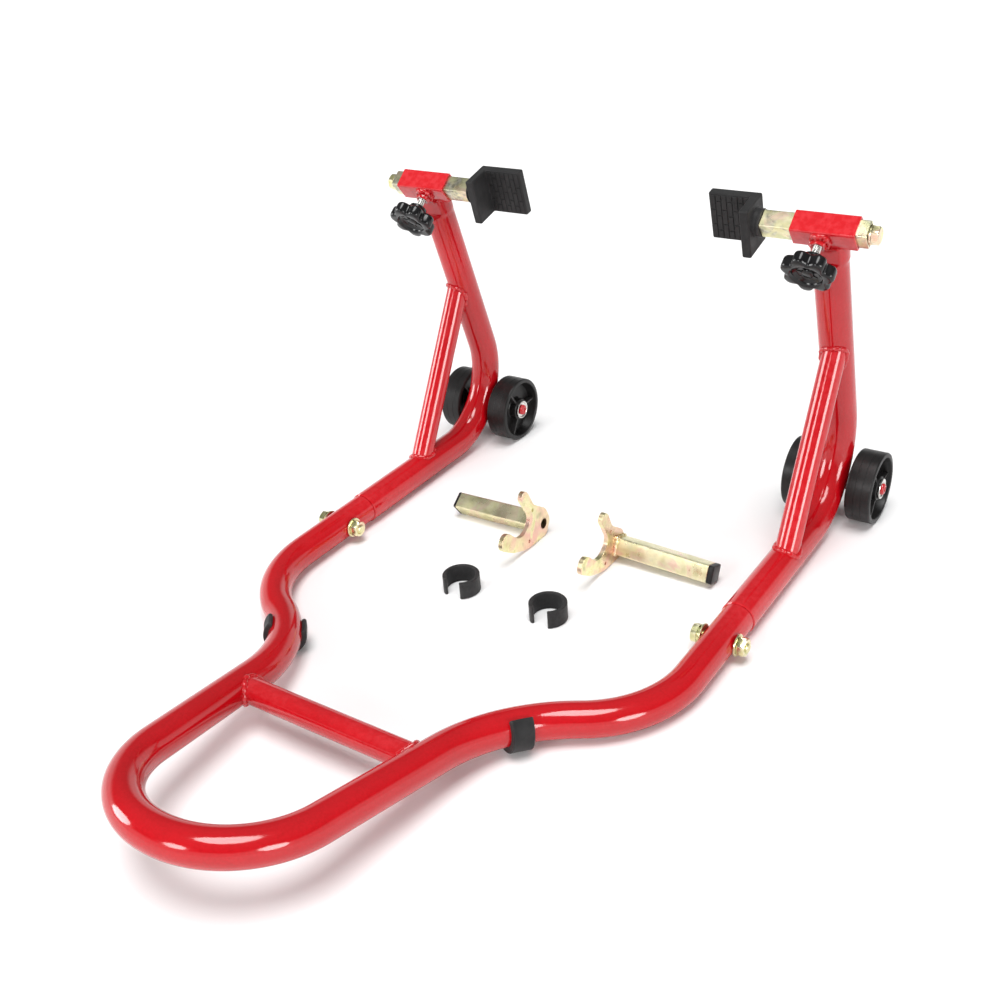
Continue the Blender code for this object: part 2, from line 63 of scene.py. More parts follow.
def size(node):
    low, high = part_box(node)
    return high - low


# Places, from the frame
AXLE_Y = middle("axle_right").y
LEG_X = middle("leg_tube_right").x
LEG_R = size("leg_tube_right").x / 2
ARM_Z = middle("joint_nut_right").z
JOINT_Y = middle("joint_nut_right").y
BRACE_R = size("cross_brace").z / 2
SOCKET_AT = middle("socket_right") * Vector((0, 1, 1))
CLAMP_AXIS = Vector(JOINTS["clamp_right_advance"]["axis"])
SOCKET_PITCH = atan2(-CLAMP_AXIS.z, -CLAMP_AXIS.y)
PAD_AXIS = Vector(MOUNTS["pad_face_right"]["axis"])
PAD_PITCH = atan2(-PAD_AXIS.z, -PAD_AXIS.y)
SEAM_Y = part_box("handle_tube")[1].y

# The tubes, their bends as in the frame, and the clearance between parts that touch
GAP = 0.3 * MM
HANDLE_R = 16.5 * MM
HANDLE_WALL = 1.8 * MM
LEG_BORE = 14.6 * MM
LEG_BORE_DEPTH = 130 * MM
WELD_R = 2.8 * MM
GUSSET_FOOT = AXLE_Y - 155 * MM
GUSSET_TOP = 222 * MM
POST_LEAN = radians(18.5)
HEEL_Y = AXLE_Y + 30 * MM
HEEL_BEND = 85 * MM
FRONT = Vector((81.8 * MM, AXLE_Y - 784.1 * MM, 73 * MM))
NECK = Vector((115 * MM, AXLE_Y - 507.7 * MM, 21.8 * MM))
ELBOW = Vector((LEG_X, AXLE_Y - 435 * MM, ARM_Z))
FRONT_BEND = 91 * MM
NECK_BEND = 147 * MM
ELBOW_BEND = 115 * MM
FINE = radians(2.5)

# The flattened top of a post: how far below its top the front starts to be pressed in, over what
# length, and how far in front of the axis the flat lies. The rings are so many mm below the top.
PRESS_FROM = 28 * MM
PRESS_OVER = 6.5 * MM
PRESSED_DEPTH = 12 * MM
PRESS_RINGS = (40, 32, 29, 27, 25.5, 24, 22.5, 21, 12, 7.5)

# Rods, bolts and square bars
ROD_R = 5 * MM
BOLT_R = 5 * MM
BOLT_HOLE = 5.3 * MM
STUD_R = 4 * MM
STUD_HOLE = 4.3 * MM
BAR = (19.4 * MM, 1.8 * MM, 1.7 * MM)  # width, wall and corner radius
KNOB_R = 26 * MM
LOBES = 7
CAP_BASE = 0.7 * MM
CAP_LIP = 1.7 * MM

# Clip feet
FOOT_AT = {"left": AXLE_Y - 497.5 * MM, "right": AXLE_Y - 507 * MM}
FOOT_LENGTH = 23.5 * MM
FOOT_THICK = 4 * MM
FOOT_MOUTH = radians(116)
MOUTH_TURN = radians(21)
SPARE_MOUTH = radians(58)

# Fork adapters, by side. A hole is (u, v, radius) in the plate's own plane.
FORK_LENGTH = 107 * MM
FORK_THICK = 5 * MM
FORK_LEAN = radians(31.3)
FORK_ROLLS = {-1: radians(35), 1: radians(-20)}
FORK_TILTS = {-1: radians(1.52), 1: radians(2)}
FORK_HOLES = [
    (-1.5 * MM, 0, 6 * MM), (29.5 * MM, 13 * MM, 2 * MM), (21.5 * MM, -21.5 * MM, 2 * MM),
]
FORK_CAPS = {-1: 3 * MM, 1: 6 * MM}


# Materials


class Look:
    """A procedural material in the making."""

    def __init__(self, name, roughness, metallic=0.0, **sockets):
        self.material = bpy.data.materials.new(name)
        self.material.use_nodes = True
        self.nodes = self.material.node_tree.nodes
        self.links = self.material.node_tree.links
        self.shader = self.nodes["Principled BSDF"]
        self.place = self.nodes.new("ShaderNodeTexCoord").outputs["Object"]
        self.normal = None
        self.shader.inputs["Metallic"].default_value = metallic
        for socket, value in sockets.items():
            self.shader.inputs[socket.replace("_", " ")].default_value = value
        low, high, scale = roughness
        self.link(self.spread(self.noise(scale, 3), low, high), "Roughness")

    def link(self, output, socket):
        self.links.new(output, self.shader.inputs[socket])

    def noise(self, scale, detail=2.0, distortion=0.0, stretch=None):
        """Noise whose largest features are 1 / scale metres wide."""
        place = self.place
        if stretch:
            mapping = self.nodes.new("ShaderNodeMapping")
            mapping.inputs["Scale"].default_value = stretch
            self.links.new(place, mapping.inputs["Vector"])
            place = mapping.outputs["Vector"]
        made = self.nodes.new("ShaderNodeTexNoise")
        made.inputs["Scale"].default_value = scale
        made.inputs["Detail"].default_value = detail
        made.inputs["Distortion"].default_value = distortion
        self.links.new(place, made.inputs["Vector"])
        return made.outputs["Fac"]

    def spread(self, value, low, high, start=0.3, end=0.7):
        made = self.nodes.new("ShaderNodeMapRange")
        made.inputs["From Min"].default_value = start
        made.inputs["From Max"].default_value = end
        made.inputs["To Min"].default_value = low
        made.inputs["To Max"].default_value = high
        self.links.new(value, made.inputs["Value"])
        return made.outputs["Result"]

    def ramp(self, value, stops):
        made = self.nodes.new("ShaderNodeValToRGB")
        points = made.color_ramp.elements
        while len(points) < len(stops):
            points.new(0.5)
        for point, (place, color) in zip(points, stops):
            point.position = place
            point.color = (*color, 1.0)
        self.links.new(value, made.inputs["Fac"])
        return made.outputs["Color"]

    def mix(self, share, first, second):
        made = self.nodes.new("ShaderNodeMix")
        made.data_type = "RGBA"
        self.links.new(share, made.inputs["Factor"])
        for output, socket in ((first, "A"), (second, "B")):
            color_socket = [s for s in made.inputs if s.name == socket and s.type == "RGBA"][0]
            self.links.new(output, color_socket)
        return [s for s in made.outputs if s.type == "RGBA"][0]

    def bump(self, height, strength, depth):
        made = self.nodes.new("ShaderNodeBump")
        made.inputs["Strength"].default_value = strength
        made.inputs["Distance"].default_value = depth
        self.links.new(height, made.inputs["Height"])
        if self.normal:
            self.links.new(self.normal, made.inputs["Normal"])
        self.normal = made.outputs["Normal"]
        return self

    def edges(self, low, high):
        """0 on flat surfaces and up to 1 on outward edges."""
        geometry = self.nodes.new("ShaderNodeNewGeometry")
        return self.spread(geometry.outputs["Pointiness"], 0.0, 1.0, low, high)

    def done(self, color):
        self.link(color, "Base Color")
        if self.normal:
            self.link(self.normal, "Normal")
        return self.material


def red_paint():
    look = Look("red_paint", (0.06, 0.14, 22), Specular_IOR_Level=0.65)
    shades = [(0.35, (0.39, 0.0010, 0.004)), (0.65, (0.475, 0.0022, 0.007))]
    specks = [(0.3, (0.35, 0.0010, 0.003)), (0.7, (0.50, 0.0032, 0.009))]
    deep = look.ramp(look.noise(9, 4), shades)
    dust = look.ramp(look.noise(420, 2), specks)
    mixed = look.mix(look.spread(look.noise(60, 3), 0.15, 0.5), deep, dust)
    # The lighter, pinker red mixed in on outward edges is a painted highlight along the edges.
    thin = look.ramp(look.noise(150, 2), [(0.4, (0.58, 0.012, 0.018)), (0.6, (0.68, 0.04, 0.05))])
    color = look.mix(look.edges(0.53, 0.62), mixed, thin)
    look.bump(look.noise(260, 2), 0.12, 0.3 * MM)
    look.bump(look.noise(35, 2), 0.12, 0.8 * MM)
    return look.done(color)


def yellow_zinc(name, warmth, scuffs, pink_at=0.60):
    """Yellow passivated zinc, which shifts between straw, green and pink."""
    look = Look(name, (0.20, 0.40, 45), metallic=1.0)
    film = look.noise(21, 3, 1.8)
    straw, green = (0.66, 0.62, 0.27), (0.52, 0.62, 0.30)
    pink, pale = (0.86, 0.52, 0.44), (0.86, 0.81, 0.48)
    bands = look.ramp(film, [
        (pink_at - 0.26, green), (pink_at - 0.16, straw), (pink_at - 0.08, pale), (pink_at, pink),
        (pink_at + 0.13, pink if pink_at < 0.6 else straw),
    ])
    plain = look.ramp(look.noise(90, 4), [(0.3, straw), (0.5, pale), (0.7, (0.50, 0.49, 0.27))])
    color = look.mix(look.spread(look.noise(40, 3, 0.6), 1 - warmth, 1.0), plain, bands)
    silver = look.ramp(look.noise(260, 3), [(0.38, (0.10, 0.10, 0.09)), (0.6, (0.55, 0.55, 0.50))])
    color = look.mix(look.spread(look.noise(55, 5, 1.0), 0.0, scuffs, 0.50, 0.62), color, silver)
    bright = look.ramp(look.noise(200, 2), [(0.3, (0.74, 0.69, 0.46)), (0.7, (0.88, 0.84, 0.66))])
    color = look.mix(look.edges(0.54, 0.62), color, bright)
    look.bump(look.noise(900, 2, stretch=(0.06, 1.0, 1.0)), 0.16, 0.15 * MM)
    look.bump(look.noise(120, 3), 0.25, 0.25 * MM)
    return look.done(color)


def bright_steel():
    look = Look("bright_steel", (0.14, 0.32, 120), metallic=1.0)
    color = look.ramp(look.noise(70, 4), [(0.3, (0.58, 0.57, 0.54)), (0.7, (0.86, 0.85, 0.82))])
    look.bump(look.noise(700, 2), 0.15, 0.1 * MM)
    return look.done(color)


def rubber():
    sheen = {"Sheen_Weight": 0.05, "Sheen_Roughness": 0.5}
    look = Look("rubber", (0.46, 0.68, 60), Specular_IOR_Level=0.2, **sheen)
    dark = [(0.3, (0.008, 0.008, 0.0085)), (0.7, (0.016, 0.0155, 0.016))]
    grey = [(0.3, (0.030, 0.029, 0.029)), (0.7, (0.060, 0.058, 0.058))]
    body = look.ramp(look.noise(40, 5), dark)
    bloom = look.ramp(look.noise(300, 3), grey)
    patches = look.mix(look.spread(look.noise(25, 5, 0.5), 0.0, 0.35, 0.45, 0.75), body, bloom)
    color = look.mix(look.edges(0.53, 0.66), patches, bloom)
    look.bump(look.noise(700, 3), 0.35, 0.25 * MM)
    look.bump(look.noise(70, 3), 0.15, 0.6 * MM)
    return look.done(color)


def wheel_plastic():
    look = Look("wheel_plastic", (0.30, 0.48, 50), Specular_IOR_Level=0.35)
    dark = [(0.3, (0.0035, 0.0032, 0.0032)), (0.7, (0.0080, 0.0074, 0.0074))]
    grey = [(0.3, (0.016, 0.015, 0.015)), (0.7, (0.034, 0.032, 0.032))]
    body = look.ramp(look.noise(35, 4), dark)
    worn = look.ramp(look.noise(250, 3), grey)
    lines = look.noise(120, 4, stretch=(4.0, 1.0, 1.0))
    scuffed = look.mix(look.spread(lines, 0.0, 0.30, 0.5, 0.8), body, worn)
    color = look.mix(look.edges(0.55, 0.68), scuffed, worn)
    look.bump(look.noise(500, 3), 0.20, 0.2 * MM)
    look.bump(look.noise(900, 1, stretch=(1.0, 0.05, 0.05)), 0.25, 0.2 * MM)
    return look.done(color)


def gloss_plastic():
    look = Look("gloss_plastic", (0.12, 0.24, 80), Specular_IOR_Level=0.4)
    dark = [(0.3, (0.0028, 0.0028, 0.0032)), (0.7, (0.007, 0.007, 0.0076))]
    grey = [(0.3, (0.010, 0.010, 0.011)), (0.7, (0.022, 0.022, 0.023))]
    body = look.ramp(look.noise(60, 4), dark)
    worn = look.ramp(look.noise(300, 2), grey)
    color = look.mix(look.edges(0.54, 0.66), body, worn)
    look.bump(look.noise(450, 2), 0.12, 0.15 * MM)
    look.bump(look.noise(60, 2), 0.12, 0.4 * MM)
    return look.done(color)


def floor_paper():
    look = Look("floor_paper", (0.75, 0.9, 3), Specular_IOR_Level=0.2)
    color = look.ramp(look.noise(2, 3), [(0.3, (0.88, 0.88, 0.88)), (0.7, (0.90, 0.90, 0.90))])
    look.bump(look.noise(400, 2), 0.05, 0.2 * MM)
    return look.done(color)


RED = red_paint()
ZINC = yellow_zinc("yellow_zinc", 0.9, 0.0)
PINK_ZINC = yellow_zinc("pink_zinc", 1.0, 0.0, pink_at=0.50)
SCUFFED_ZINC = yellow_zinc("scuffed_zinc", 0.6, 1.0)
STEEL = bright_steel()
RUBBER = rubber()
WHEEL = wheel_plastic()
GLOSS = gloss_plastic()


# Shapes


def loft(bm, rings, loop=False):
    """Skins rings of equal length. The two ends are capped, or joined together when loop is set."""
    rows = [[bm.verts.new(point) for point in ring] for ring in rings]
    count = len(rows[0])
    pairs = list(zip(rows, rows[1:]))
    if loop:
        pairs.append((rows[-1], rows[0]))
    for low, high in pairs:
        for k in range(count):
            after = (k + 1) % count
            bm.faces.new((low[k], low[after], high[after], high[k]))
    if not loop:
        bm.faces.new(rows[0][::-1])
        bm.faces.new(rows[-1])


def circle(radius, sides, x=0.0):
    """A ring of points around the X axis."""
    angles = [2 * pi * k / sides for k in range(sides)]
    return [Vector((x, radius * cos(a), radius * sin(a))) for a in angles]


def turned(bm, profile, sides=64, loop=True):
    """Turns (x, radius) points around the X axis."""
    loft(bm, [circle(radius, sides, x) for x, radius in profile], loop)


def block(bm, low, high, taper=0.0):
    """A box whose face at the low end of Y is smaller by the taper on each side."""
    rings = []
    for y, shrink in ((low[1], taper), (high[1], 0.0)):
        xs, zs = [(low[k] + shrink, high[k] - shrink) for k in (0, 2)]
        rings.append([Vector((xs[i], y, zs[j])) for i, j in ((0, 0), (1, 0), (1, 1), (0, 1))])
    loft(bm, rings)


def finned(bm, rings, angles):
    """Adds the same lofted rib at each angle around the X axis."""
    for angle in angles:
        turn = Matrix.Rotation(angle, 3, "X")
        loft(bm, [[turn @ point for point in ring] for ring in rings])


def arc_between(centre, start, end, step):
    """Points from start to end on a circle about centre, both ends included."""
    a, b = start - centre, end - centre
    turn = a.angle(b)
    count = max(2, ceil(turn / step))
    weights = [(sin((1 - k / count) * turn), sin(k / count * turn)) for k in range(count + 1)]
    return [centre + (a * first + b * last) / sin(turn) for first, last in weights]


def rounded(corners, radii, step=FINE, closed=False):
    """A line through the corners, with an arc of the given radius at each inner corner."""
    count = len(corners)
    triples = [(corners[k - 1], corners[k], corners[(k + 1) % count]) for k in range(count)]
    if not closed:
        triples = triples[1:-1]
    points = [] if closed else [corners[0]]
    for (before, corner, after), radius in zip(triples, radii):
        back = (before - corner).normalized()
        ahead = (after - corner).normalized()
        half = back.angle(ahead) / 2
        reach = radius / tan(half)
        centre = corner + (back + ahead).normalized() * radius / sin(half)
        points += arc_between(centre, corner + back * reach, corner + ahead * reach, step)
    return points if closed else points + [corners[-1]]


def frames(path):
    """(point, normal, side) along a path, with as little twist as it allows."""
    found = []
    normal = Vector((0, 0, 1))
    for k, point in enumerate(path):
        ahead = path[min(k + 1, len(path) - 1)] - point
        behind = point - path[max(k - 1, 0)]
        tangent = (ahead.normalized() + behind.normalized()).normalized()
        normal = (normal - tangent * normal.dot(tangent)).normalized()
        found.append((point, normal, tangent.cross(normal)))
    return found


def tube(bm, path, outer, inner, sides=56):
    """A round tube along the path, with a small chamfer at each outer end."""
    edge = 0.8 * MM
    first = path[0] + (path[1] - path[0]).normalized() * edge
    last = path[-1] + (path[-2] - path[-1]).normalized() * edge
    line = frames([path[0], first, *path[1:-1], last, path[-1]])
    radii = [outer - edge, *[outer] * (len(line) - 2), outer - edge]
    rings = [around(*at, radius, sides) for at, radius in zip(line, radii)]
    rings += [around(*at, inner, sides) for at in line[::-1]]
    loft(bm, rings, loop=True)


def around(point, normal, side, radius, sides):
    angles = [2 * pi * k / sides for k in range(sides)]
    return [point + radius * (cos(a) * normal + sin(a) * side) for a in angles]


def bead(bm, path, radius, wobble=0.45, ripple=3.2 * MM, sides=12):
    """A weld bead along a closed path, with the ripples of its pool."""
    count = len(path)
    centre = sum(path, Vector()) / count
    length = 0.0
    rings = []
    for k, point in enumerate(path):
        tangent = (path[(k + 1) % count] - path[k - 1]).normalized()
        out = point - centre
        out = (out - tangent * out.dot(tangent)).normalized()
        length += (point - path[k - 1]).length
        swell = 1 + wobble * noise.noise(point * 240) + 0.07 * cos(2 * pi * length / ripple)
        rings.append(around(point, out, tangent.cross(out), radius * swell, sides))
    loft(bm, rings, loop=True)


def resampled(points, count):
    """A closed line as count points, evenly spaced."""
    ends = [*points, points[0]]
    steps = [(b - a).length for a, b in zip(ends, ends[1:])]
    found, k, passed = [], 0, 0.0
    for j in range(count):
        target = sum(steps) * j / count
        while passed + steps[k] < target:
            passed += steps[k]
            k += 1
        found.append(ends[k].lerp(ends[k + 1], (target - passed) / steps[k]))
    return found


def strut(bm, tree, start, end, radius, weld, sides=72):
    """A round bar between two tubes of the tree, with a weld bead at each end."""
    axis = (end - start).normalized()
    normal = axis.orthogonal().normalized()
    ring = around((start + end) / 2, normal, axis.cross(normal), radius, sides)
    rims = [[tree.ray_cast(point, axis * way)[0] for point in ring] for way in (-1, 1)]
    sink = axis * 1.5 * MM
    loft(bm, [[point - sink for point in rims[0]], ring, [point + sink for point in rims[1]]])
    for rim in rims:
        bead(bm, rim, weld)


def rounded_square(width, radius, x, steps=5):
    """A square ring of points around the X axis, with round corners."""
    half = width / 2 - radius
    points = []
    for k, (y, z) in enumerate(((1, 1), (-1, 1), (-1, -1), (1, -1))):
        for j in range(steps + 1):
            angle = pi / 2 * (k + j / steps)
            points.append(Vector((x, y * half + radius * cos(angle), z * half + radius * sin(angle))))
    return points


def square_tube(bm, start, end, width, wall, radius):
    """A square tube along the X axis, open at both ends."""
    start, end = sorted((start, end))
    edge = 0.4 * MM
    inner, bend = width - 2 * wall, max(radius - wall, 0.4 * MM)
    rings = [
        rounded_square(width, radius, start + edge), rounded_square(width, radius, end - edge),
        rounded_square(width - 2 * edge, radius - edge, end), rounded_square(inner, bend, end),
        rounded_square(inner, bend, start), rounded_square(width - 2 * edge, radius - edge, start),
    ]
    loft(bm, rings, loop=True)


def hex_ring(flats, x, limit, count=48):
    """A hexagon around the X axis, whose corners are cut back to the limit."""
    points = []
    for k in range(count):
        angle = 2 * pi * k / count
        reach = min(flats / 2 / cos((angle + pi / 6) % (pi / 3) - pi / 6), limit)
        points.append(Vector((x, reach * cos(angle), reach * sin(angle))))
    return points


def hex_head(bm, start, end, flats):
    """A bolt head from its seat at start to its chamfered top at end."""
    way = 1 if end > start else -1
    corner = flats / 2 / cos(pi / 6)
    rings = [hex_ring(flats, start, corner), hex_ring(flats, end - way * 1.3 * MM, corner)]
    rings += [hex_ring(flats, end - way * 0.5 * MM, flats * 0.525), hex_ring(flats, end, flats * 0.47)]
    rings.append(hex_ring(flats, end - way * 0.15 * MM, flats * 0.44))
    loft(bm, rings)


def nut(bm, start, end, flats, hole):
    """A nut chamfered at both ends, and so is its hole."""
    corner = flats / 2 / cos(pi / 6)
    edge = 1.2 * MM
    rings = [
        hex_ring(flats, start, flats * 0.49), hex_ring(flats, start + edge, corner),
        hex_ring(flats, end - edge, corner), hex_ring(flats, end, flats * 0.49),
        circle(hole + 0.8 * MM, 48, end), circle(hole, 48, end - 0.8 * MM),
        circle(hole, 48, start + 0.8 * MM), circle(hole + 0.8 * MM, 48, start),
    ]
    loft(bm, rings, loop=True)


def threaded(bm, start, end, radius, pitch, depth, sides=32):
    """A threaded rod, whose threads are rings."""
    start, end = sorted((start, end))
    count = int((end - start) / pitch)
    profile = [(start, radius - depth)]
    for k in range(count):
        x = start + (end - start) * k / count
        profile += [(x + 0.30 * pitch, radius), (x + 0.45 * pitch, radius)]
        profile.append((x + 0.85 * pitch, radius - depth))
    profile.append((end, radius - depth))
    turned(bm, profile, sides, loop=False)


def washer(bm, start, end, outer, inner):
    edge = 0.35 * MM
    start, end = sorted((start, end))
    profile = [(start, inner), (start, outer - edge), (start + edge, outer), (end - edge, outer)]
    turned(bm, profile + [(end, outer - edge), (end, inner)])


def soften(thing, width, sharp):
    """Rounds the edges that are sharper than so many degrees."""
    modifier = thing.modifiers.new("edges", "BEVEL")
    modifier.width = width
    modifier.segments = 3
    modifier.limit_method = "ANGLE"
    modifier.angle_limit = radians(sharp)
    modifier.harden_normals = True


def piece(name, bm, body, look, *nodes, at=None, bevel=0.0, sharp=35, slot=None):
    """Makes the piece in the row frame, riding on its body and standing for the CAD nodes."""
    if at:
        bm.transform(at)
    bmesh.ops.recalc_face_normals(bm, faces=bm.faces)
    mesh = bpy.data.meshes.new(name)
    bm.to_mesh(mesh)
    bm.free()
    mesh.materials.append(look)
    mesh.shade_smooth()
    made = bpy.data.objects.new(name, mesh)
    bpy.context.scene.collection.objects.link(made)
    if bevel:
        soften(made, bevel, sharp)
    else:
        mesh.set_sharp_from_angle(angle=radians(sharp))
    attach(made, body)
    if nodes:
        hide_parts(*nodes)
    return made


# The frame's tubes


def mirrored(point):
    return Vector((-point.x, point.y, point.z))


def handle_path():
    seam = Vector((LEG_X, SEAM_Y, ARM_Z))
    half = [seam, ELBOW, NECK, FRONT]
    corners = [mirrored(point) for point in half] + half[::-1]
    bends = [ELBOW_BEND, NECK_BEND, FRONT_BEND]
    return rounded(corners, bends + bends[::-1])


def post_point(x, z):
    return Vector((x, HEEL_Y - tan(POST_LEAN) * (z - ARM_Z), z))


def build_handle():
    bm = bmesh.new()
    tube(bm, handle_path(), HANDLE_R, HANDLE_R - HANDLE_WALL)
    tree = BVHTree.FromBMesh(bm)
    piece("handle", bm, "frame", RED, "handle_tube")
    brace = middle("cross_brace")
    reach = Vector((NECK.x - 8 * MM, 0, 0))
    bm = bmesh.new()
    strut(bm, tree, brace - reach, brace + reach, BRACE_R, WELD_R)
    piece("brace", bm, "frame", RED, "cross_brace")


def post_rings(x, outer, sides=72):
    """The post's rings from the heel up, with its front pressed flat near the top."""
    spin = Matrix.Rotation(SOCKET_PITCH, 3, "X")
    under = SOCKET_AT + spin @ Vector((0, 0, -size_across() / 2 - GAP))
    square = spin @ Vector((0, 0, 1))
    corners = [Vector((x, SEAM_Y + GAP, ARM_Z)), Vector((x, HEEL_Y, ARM_Z)), post_point(x, 300 * MM)]
    path = rounded(corners, [HEEL_BEND])
    up = (path[-1] - path[-2]).normalized()

    def cut(point):
        """Where a line up the post from the point meets the underside of the socket."""
        return point + up * ((under - point).dot(square) / up.dot(square))

    top = cut(path.pop())
    path += [top - up * down * MM for down in PRESS_RINGS]
    rings = []
    for k, point in enumerate(path):
        tangent = (path[min(k + 1, len(path) - 1)] - path[max(k - 1, 0)]).normalized()
        back = Vector((0, tangent.z, -tangent.y))
        share = min(max((PRESS_FROM - (top - point).length) / PRESS_OVER, 0.0), 1.0)
        press = (outer - PRESSED_DEPTH) * share * share * (3 - 2 * share)
        ring = []
        for j in range(sides):
            angle = 2 * pi * j / sides
            depth = max(outer * sin(angle), press - outer)
            wide = outer * cos(angle) * (1 + 0.2 * press / outer)
            ring.append(point + Vector((wide, 0, 0)) + back * depth)
        rings.append(ring)
    rings.append([cut(point) for point in rings[-1]])
    return rings


def size_across():
    """The socket's width across its flats."""
    spin = Matrix.Rotation(-SOCKET_PITCH, 3, "X")
    vertices = frame["nodes"]["socket_right"].data.vertices
    points = [spin @ (vertex.co - SOCKET_AT) for vertex in vertices]
    return max(point.z for point in points) - min(point.z for point in points)


def shrunk(ring, centre, share):
    """The ring brought towards the centre in X and Z."""
    return [centre + (point - centre) * Vector((share, 1, share)) for point in ring]


def build_leg(word, side):
    x = side * LEG_X
    rings = post_rings(x, LEG_R)
    edge = 0.9 * MM
    centre = Vector((x, 0, ARM_Z))
    start = shrunk(rings[0], centre, 1 - edge / LEG_R)
    first = [point + Vector((0, edge, 0)) for point in rings[0]]
    mouth = shrunk(rings[0], centre, LEG_BORE / LEG_R)
    floor = [point + Vector((0, LEG_BORE_DEPTH, 0)) for point in mouth]
    bm = bmesh.new()
    loft(bm, [floor, mouth, start, first, *rings[1:]])
    tree = BVHTree.FromBMesh(bm)
    bead(bm, resampled(rings[-1], 120), 2.0 * MM)
    piece(f"leg_{word}", bm, "frame", RED, f"leg_tube_{word}")
    out = middle(f"gusset_{word}").x
    bm = bmesh.new()
    foot = Vector((out, GUSSET_FOOT, ARM_Z))
    strut(bm, tree, foot, post_point(out, GUSSET_TOP), BRACE_R, WELD_R)
    piece(f"gusset_bar_{word}", bm, "frame", RED, f"gusset_{word}")


def build_axle(word, side):
    at = Matrix.Translation(middle(f"axle_{word}"))
    half = size(f"axle_{word}").x / 2
    head = size(f"axle_{word}").z / 2
    neck = half - 3.8 * MM
    end = [(neck, ROD_R), (neck, head - 0.4 * MM), (neck + 0.4 * MM, head), (half - 1.8 * MM, head)]
    for back, down in ((0.9, 0.5), (0.2, 1.5), (0, 2.6), (0.1, 3.6), (0.9, 4.1), (1.1, 5)):
        end.append((half - back * MM, head - down * MM))
    bm = bmesh.new()
    turned(bm, [(-x, r) for x, r in end[::-1]] + end, 48, loop=False)
    piece(f"axle_rod_{word}", bm, "frame", RED, f"axle_{word}", at=at)

    half, outer = size(f"axle_sleeve_{word}").x / 2, size(f"axle_sleeve_{word}").z / 2
    edge = 1.2 * MM
    profile = [(-half, ROD_R + GAP), (-half, outer - edge), (-half + edge, outer)]
    bm = bmesh.new()
    turned(bm, profile + [(-x, r) for x, r in profile[::-1]], 56)
    piece(f"sleeve_{word}", bm, "frame", RED, f"axle_sleeve_{word}", at=at)
    for place in ("inner", "outer"):
        build_cap(word, place, -side if place == "inner" else side)


def build_cap(word, place, way):
    """A pressed cup over the end of the axle, open away from the wheel."""
    node = f"axle_cap_{word}_{place}"
    low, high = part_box(node)
    thick, flange = size(node).x, size(node).z / 2
    hole, base, lip = ROD_R + GAP, CAP_BASE, flange - CAP_LIP
    rim = [
        (0, hole), (0, flange - 0.4 * MM), (0.4 * MM, flange), (thick - 0.5 * MM, flange),
        (thick - 0.1 * MM, flange - 0.3 * MM), (thick, flange - 0.7 * MM),
        (thick - 0.2 * MM, flange - 1.2 * MM), (thick - 0.7 * MM, lip),
        (base + 0.3 * MM, lip - 0.3 * MM), (base, lip - 0.7 * MM), (base, hole),
    ]
    centre = middle(node)
    centre.x = low.x if way > 0 else high.x
    bm = bmesh.new()
    turned(bm, [(way * x, r) for x, r in rim], 56)
    piece(f"push_cap_{word}_{place}", bm, "frame", STEEL, node, at=Matrix.Translation(centre))


def build_wheel(word, place):
    """A plastic roller with a recessed web and three ribs on each side, and a moulding seam."""
    node = f"wheel_{word}_{place}"
    at = middle(node)
    half, tread = size(node).x / 2, size(node).z / 2
    side = [
        (half, tread - 4.6 * MM), (half - 0.8 * MM, tread - 5.4 * MM), (5.5 * MM, tread - 7.2 * MM),
        (3.2 * MM, tread - 8.6 * MM), (3 * MM, tread - 10 * MM), (3 * MM, 15.4 * MM),
        (4 * MM, 14.4 * MM), (half - 2.2 * MM, 13.4 * MM), (half - 1.5 * MM, 12.6 * MM),
        (half - 1.5 * MM, BOLT_HOLE),
    ]
    shoulder = [(half, tread - 1.9 * MM), (half - 0.5 * MM, tread - 0.7 * MM), (half - 1.7 * MM, tread)]
    groove = tread - 0.25 * MM
    seam = [(4.6 * MM, tread), (4.4 * MM, groove), (4.0 * MM, groove), (3.8 * MM, tread)]
    right = side[::-1] + shoulder + seam
    bm = bmesh.new()
    turned(bm, right + [(-x, r) for x, r in right[::-1]], 96)
    deep, top, thin = 2.5 * MM, half - 3.6 * MM, 1.1 * MM
    stations = ((12 * MM, half - 3 * MM), (16 * MM, top), (tread - 5.6 * MM, top - 0.6 * MM))
    for face in (-1, 1):
        rings = []
        for radius, reach in stations:
            section = ((deep, -thin - 0.4 * MM), (reach, -thin), (reach, thin), (deep, thin + 0.4 * MM))
            rings.append([Vector((face * x, radius, z)) for x, z in section])
        finned(bm, rings, [2 * pi / 3 * k + 0.05 for k in range(3)])
    roller = node.replace("wheel", "roller")
    piece(roller, bm, node, WHEEL, node, at=Matrix.Translation(at), sharp=30)


